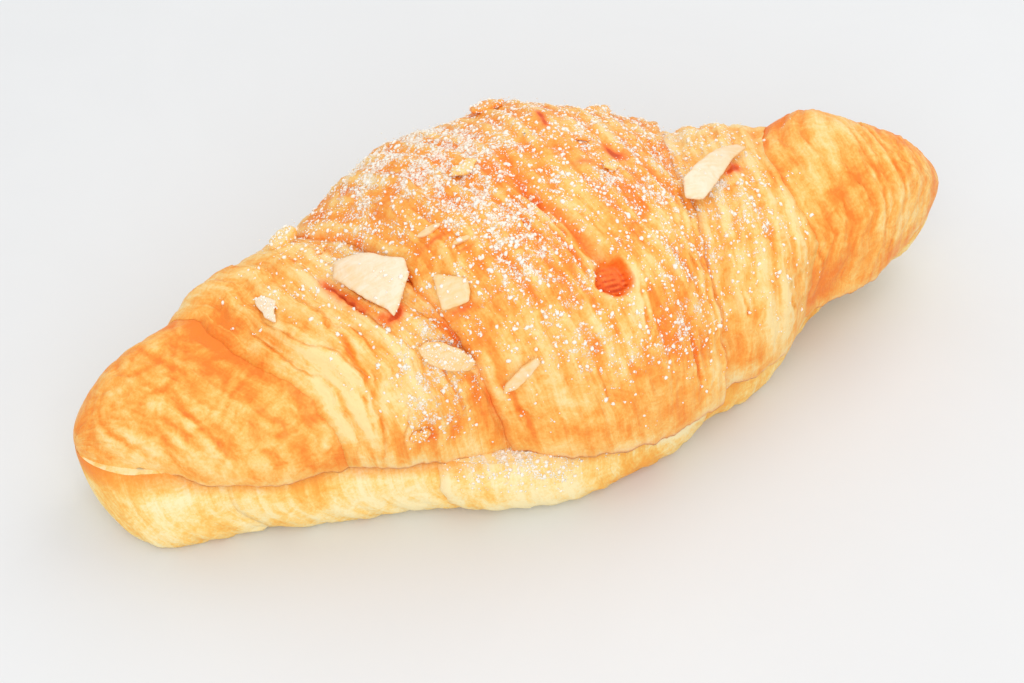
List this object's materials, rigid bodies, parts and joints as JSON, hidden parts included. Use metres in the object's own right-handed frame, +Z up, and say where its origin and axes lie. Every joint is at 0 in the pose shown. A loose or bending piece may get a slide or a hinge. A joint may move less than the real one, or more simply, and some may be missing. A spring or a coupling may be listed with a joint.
{
  "type": "almond croissant",
  "caption": "Baked croissant sliced through into a base and a lid, with wrapped layers of dough, icing sugar and sliced almonds on top.",
  "frame": {"origin": "on the flat underside, midway between the two tips of the roll and on the line from which its front and back reach are measured", "axes": "+X from the left tip to the right tip along the roll, +Y to the back, +Z up from the surface that it rests on"},
  "size_m": [0.19, 0.0802, 0.061],
  "materials": {
    "pale_crust": "matt pale golden crust, softly ridged where the layers end",
    "brown_crust": "golden brown glazed crust with a faint sheen, flaky layers and icing sugar",
    "almond": "matt cream almond"
  },
  "bodies": {
    "root": {"base": "pale_crust", "lid": "brown_crust", "almond_slice_1": "almond", "almond_slice_2": "almond", "almond_slice_3": "almond", "almond_slice_4": "almond", "almond_slice_5": "almond"}
  },
  "joints": []
}
